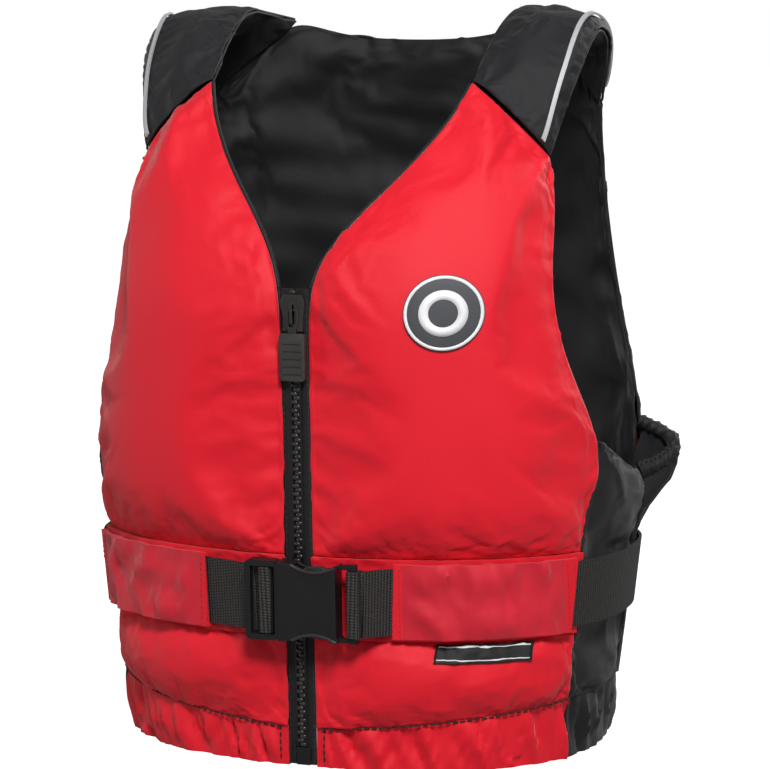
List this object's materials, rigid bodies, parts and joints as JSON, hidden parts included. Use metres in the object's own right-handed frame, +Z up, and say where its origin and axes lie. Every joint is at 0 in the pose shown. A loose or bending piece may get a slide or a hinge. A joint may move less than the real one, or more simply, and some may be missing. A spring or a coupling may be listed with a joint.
{
  "type": "life jacket",
  "caption": "Foam buoyancy waistcoat with a front zip, padded shoulder straps, open armholes and a webbing belt that closes on a side-release buckle.",
  "frame": {"origin": "middle of the hem, on the surface that the jacket stands on, under the middle of its box", "axes": "+Z up from hem to shoulders, -Y out of the front with the zip, +X towards the wearer's left"},
  "size_m": [0.3726, 0.2774, 0.4555],
  "materials": {
    "red_fabric": "matt woven nylon, red",
    "tunnel_fabric": "matt woven nylon, duller red",
    "black_fabric": "matt woven nylon, black",
    "lining_fabric": "plain woven lining, black",
    "foam": "closed-cell foam sheet",
    "webbing": "ribbed polyester webbing, black",
    "zip_tape": "woven zip tape, black",
    "black_plastic": "moulded acetal, fine texture",
    "reflective_tape": "grey retro-reflective piping",
    "badge": "soft moulded badge, grey on black",
    "label": "woven label, satin"
  },
  "bodies": {
    "jacket": {"chest_shell_left": "red_fabric", "chest_shell_right": "red_fabric", "chest_foam_left": "foam", "chest_foam_right": "foam", "waist_shell_left": "red_fabric", "waist_shell_right": "red_fabric", "waist_foam_left": "foam", "waist_foam_right": "foam", "front_lining_left": "lining_fabric", "front_lining_right": "lining_fabric", "belt_band_left": "red_fabric", "belt_band_right": "red_fabric", "neck_binding_left": "black_fabric", "neck_binding_right": "black_fabric", "side_shell_left": "black_fabric", "side_shell_right": "black_fabric", "side_foam_left": "foam", "side_foam_right": "foam", "side_lining_left": "lining_fabric", "side_lining_right": "lining_fabric", "side_gusset_left": "black_fabric", "side_gusset_right": "black_fabric", "hem_skirt_front_left": "red_fabric", "hem_skirt_front_right": "red_fabric", "strap_shell_left": "black_fabric", "strap_shell_right": "black_fabric", "strap_foam_left": "foam", "strap_foam_right": "foam", "strap_lining_left": "lining_fabric", "strap_lining_right": "lining_fabric", "reflective_piping_left": "reflective_tape", "reflective_piping_right": "reflective_tape", "belt_tunnel_left": "tunnel_fabric", "belt_tunnel_right": "tunnel_fabric", "back_shell": "red_fabric", "back_foam": "foam", "back_lining": "lining_fabric", "hem_skirt_back": "black_fabric", "belt_tunnel_back": "tunnel_fabric", "belt_webbing_back": "webbing", "belt_webbing_right_front": "webbing", "belt_webbing_left_front": "webbing", "zip_tape_left": "zip_tape", "zip_tape_right": "zip_tape", "zip_teeth_left": "black_plastic", "zip_teeth_right": "black_plastic", "zip_retainer_box": "black_plastic", "zip_insertion_pin": "black_plastic", "chest_badge": "badge", "woven_label": "label"},
    "slider": {"zip_slider": "black_plastic"},
    "pull": {"zip_pull_tab": "black_plastic", "zip_pull_grip": "black_plastic"},
    "plug": {"buckle_plug": "black_plastic", "webbing_loop_plug": "webbing"},
    "socket": {"buckle_socket": "black_plastic", "webbing_loop_socket": "webbing"},
    "upper_arm": {"release_arm_upper": "black_plastic"},
    "lower_arm": {"release_arm_lower": "black_plastic"}
  },
  "joints": [
    {"name": "zip_slide", "type": "slide", "parent": "jacket", "child": "slider", "axis": [0, 0.0451, -0.999], "range_m": [0, 0.248]},
    {"name": "pull_tab", "type": "hinge", "parent": "slider", "child": "pull", "pos_m": [0, -0.12944, 0.27574], "axis": [-1, 0, 0], "range_deg": [0, 150]},
    {"name": "plug_slide", "type": "slide", "parent": "jacket", "child": "plug", "axis": [-1, 0, 0], "range_m": [0, 0.02], "deforming": ["belt_webbing_right_front"]},
    {"name": "socket_slide", "type": "slide", "parent": "jacket", "child": "socket", "axis": [1, 0, 0], "range_m": [0, 0.012], "deforming": ["belt_webbing_left_front"]},
    {"name": "upper_arm_flex", "type": "hinge", "parent": "plug", "child": "upper_arm", "pos_m": [-0.004, -0.12632, 0.11908], "axis": [0, 0.999, 0.0451], "range_deg": [0, 8], "stiffness_Nm_per_rad": 0.3},
    {"name": "lower_arm_flex", "type": "hinge", "parent": "plug", "child": "lower_arm", "pos_m": [-0.004, -0.125, 0.08991], "axis": [0, 0.999, 0.0451], "range_deg": [-8, 0], "stiffness_Nm_per_rad": 0.3}
  ],
  "couplings": [
    {"joint": "socket_slide", "follows": "plug_slide", "ratio": 0.6},
    {"joint": "lower_arm_flex", "follows": "upper_arm_flex", "ratio": -1}
  ]
}
